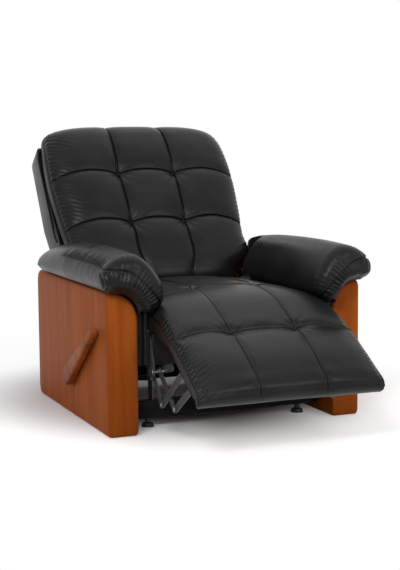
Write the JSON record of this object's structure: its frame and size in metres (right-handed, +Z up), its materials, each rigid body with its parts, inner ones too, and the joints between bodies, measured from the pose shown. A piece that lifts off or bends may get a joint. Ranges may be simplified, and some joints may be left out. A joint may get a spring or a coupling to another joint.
{
  "type": "recliner_chair",
  "caption": "Recliner chair with cherry-stained wooden side panels, tufted black leather cushions, a folding footrest and a tilting back",
  "frame": {"origin": "on the floor under the middle of the chair as pictured, partly reclined", "axes": "+Z up, -Y to the front where the footrest is, +X to the sitter's left as seen from the front, right in the picture"},
  "size_m": [0.968, 1.5854, 0.9908],
  "materials": {
    "leather": "satin",
    "cherry_wood": "satin",
    "lever_wood": "satin",
    "black_wood": "satin",
    "frame_wood": "matte",
    "dark_steel": "satin",
    "zinc": "satin",
    "rubber": "matte"
  },
  "bodies": {
    "root": {"left_arm_pad": "leather", "right_arm_pad": "leather", "seat_cushion": "leather", "knee_roll": "leather", "seat_front_board": "leather", "left_side_panel": "cherry_wood", "right_side_panel": "cherry_wood", "front_floor_rail": "black_wood", "rear_floor_rail": "black_wood", "left_seat_rail": "black_wood", "right_seat_rail": "black_wood", "handle_rosette": "lever_wood", "seat_rear_rail": "frame_wood", "left_mechanism_plate": "dark_steel", "left_support_arm": "dark_steel", "right_mechanism_plate": "dark_steel", "right_support_arm": "dark_steel", "seat_spring_1": "dark_steel", "seat_spring_2": "dark_steel", "seat_spring_3": "dark_steel", "seat_spring_4": "dark_steel", "left_pivot_a": "zinc", "left_pivot_d": "zinc", "left_back_pivot": "zinc", "right_pivot_a": "zinc", "right_pivot_d": "zinc", "right_back_pivot": "zinc", "front_left_glide": "rubber", "front_right_glide": "rubber", "rear_left_glide": "rubber", "rear_right_glide": "rubber"},
    "back": {"back_cushion": "leather", "back_shell": "leather", "back_frame": "frame_wood", "back_spring_1": "dark_steel", "back_spring_2": "dark_steel", "back_spring_3": "dark_steel", "left_back_bracket": "dark_steel", "right_back_bracket": "dark_steel"},
    "footrest": {"footrest_pad": "leather", "footrest_board": "frame_wood", "left_footrest_bracket": "dark_steel", "right_footrest_bracket": "dark_steel"},
    "handle": {"handle": "lever_wood", "torque_shaft": "dark_steel"},
    "drive_link": {"drive_link": "dark_steel"},
    "upper_rear_links": {"left_upper_rear_link": "dark_steel", "left_rivet_b": "zinc", "right_upper_rear_link": "dark_steel", "right_rivet_b": "zinc"},
    "upper_front_links": {"left_upper_front_link": "dark_steel", "right_upper_front_link": "dark_steel"},
    "lower_rear_links": {"left_lower_rear_link": "dark_steel", "left_rivet_e": "zinc", "right_lower_rear_link": "dark_steel", "right_rivet_e": "zinc"},
    "lower_front_links": {"left_lower_front_link": "dark_steel", "right_lower_front_link": "dark_steel"}
  },
  "joints": [
    {"name": "footrest_fold", "type": "hinge", "parent": "root", "child": "footrest", "pos_m": [0, -0.5244, 0.338], "axis": [-1, 0, 0], "range_deg": [-52, 30]},
    {"name": "back_recline", "type": "hinge", "parent": "root", "child": "back", "pos_m": [0, 0.2756, 0.4], "axis": [-1, 0, 0], "range_deg": [-24, 16]},
    {"name": "handle_turn", "type": "hinge", "parent": "root", "child": "handle", "pos_m": [-0.452, 0.0186, 0.139], "axis": [-1, 0, 0], "range_deg": [-52, 30]},
    {"name": "drive_link_turn", "type": "hinge", "parent": "handle", "child": "drive_link", "pos_m": [-0.286, 0.05357, 0.11068], "axis": [-1, 0, 0], "range_deg": [-30, 52]},
    {"name": "upper_rear_turn", "type": "hinge", "parent": "root", "child": "upper_rear_links", "pos_m": [0, -0.3434, 0.203], "axis": [-1, 0, 0], "range_deg": [-52, 30]},
    {"name": "upper_front_turn", "type": "hinge", "parent": "upper_rear_links", "child": "upper_front_links", "pos_m": [0, -0.4214, 0.107], "axis": [-1, 0, 0], "range_deg": [-30, 52]},
    {"name": "lower_rear_turn", "type": "hinge", "parent": "root", "child": "lower_rear_links", "pos_m": [0, -0.3794, 0.208], "axis": [-1, 0, 0], "range_deg": [-59.3, 34.2]},
    {"name": "lower_front_turn", "type": "hinge", "parent": "lower_rear_links", "child": "lower_front_links", "pos_m": [0, -0.5064, 0.1075], "axis": [-1, 0, 0], "range_deg": [-36.8, 63.7]}
  ],
  "couplings": [
    {"joint": "handle_turn", "follows": "footrest_fold", "ratio": 1},
    {"joint": "drive_link_turn", "follows": "footrest_fold", "ratio": -1},
    {"joint": "upper_rear_turn", "follows": "footrest_fold", "ratio": 1},
    {"joint": "upper_front_turn", "follows": "footrest_fold", "ratio": -1},
    {"joint": "lower_rear_turn", "follows": "footrest_fold", "ratio": 1.138},
    {"joint": "lower_front_turn", "follows": "footrest_fold", "ratio": -1.224}
  ]
}
